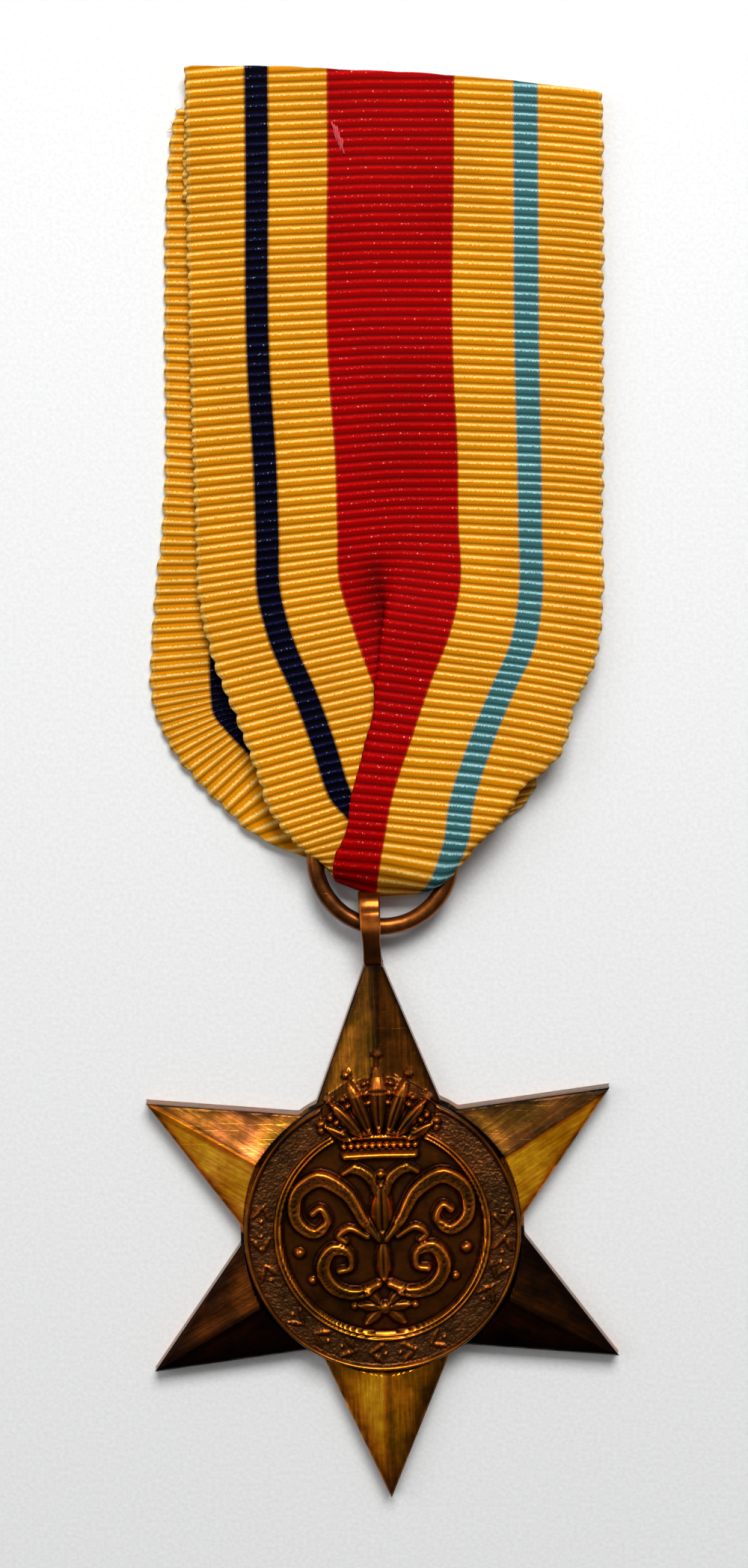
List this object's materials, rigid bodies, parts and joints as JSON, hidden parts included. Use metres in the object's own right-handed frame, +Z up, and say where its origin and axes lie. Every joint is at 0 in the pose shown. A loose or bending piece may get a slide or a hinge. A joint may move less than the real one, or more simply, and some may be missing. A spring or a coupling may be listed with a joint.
{
  "type": "service medal",
  "caption": "Six-pointed bronze star on a loop and ring, hanging from a striped ribbed ribbon folded over at the top.",
  "frame": {"origin": "under the middle of the medal's box, on the surface it lies on", "axes": "+Z up from the surface through the front, +Y towards the ribbon's top, +X to the right of the front"},
  "size_m": [0.039, 0.1185, 0.004],
  "materials": {
    "star_bronze": "toned, satin",
    "fitting_bronze": "toned, satin",
    "ring_bronze": "dark toned, satin",
    "braze": "dull",
    "ribbon": "ribbed silk with stripes",
    "thread": "dull"
  },
  "bodies": {
    "ribbon": {"ribbon_front": "ribbon", "ribbon_back": "ribbon", "tack_thread": "thread"},
    "gather": {"ribbon_gather": "ribbon"},
    "ring": {"suspension_ring": "ring_bronze"},
    "star": {"star": "star_bronze", "suspension_loop": "fitting_bronze", "loop_braze": "braze"}
  },
  "joints": [
    {"name": "ribbon_bend", "type": "hinge", "parent": "ribbon", "child": "gather", "pos_m": [0, 0.0016, 0.00165], "axis": [1, 0, 0], "range_deg": [-75, 75]},
    {"name": "ring_turn", "type": "hinge", "parent": "gather", "child": "ring", "pos_m": [0.00004, -0.00657, 0.0018], "axis": [0, 0, 1], "range_deg": [-15, 25]},
    {"name": "star_swing", "type": "hinge", "parent": "ring", "child": "star", "pos_m": [-0.00096, -0.01213, 0.0018], "axis": [1, 0, 0], "range_deg": [-90, 90]}
  ]
}
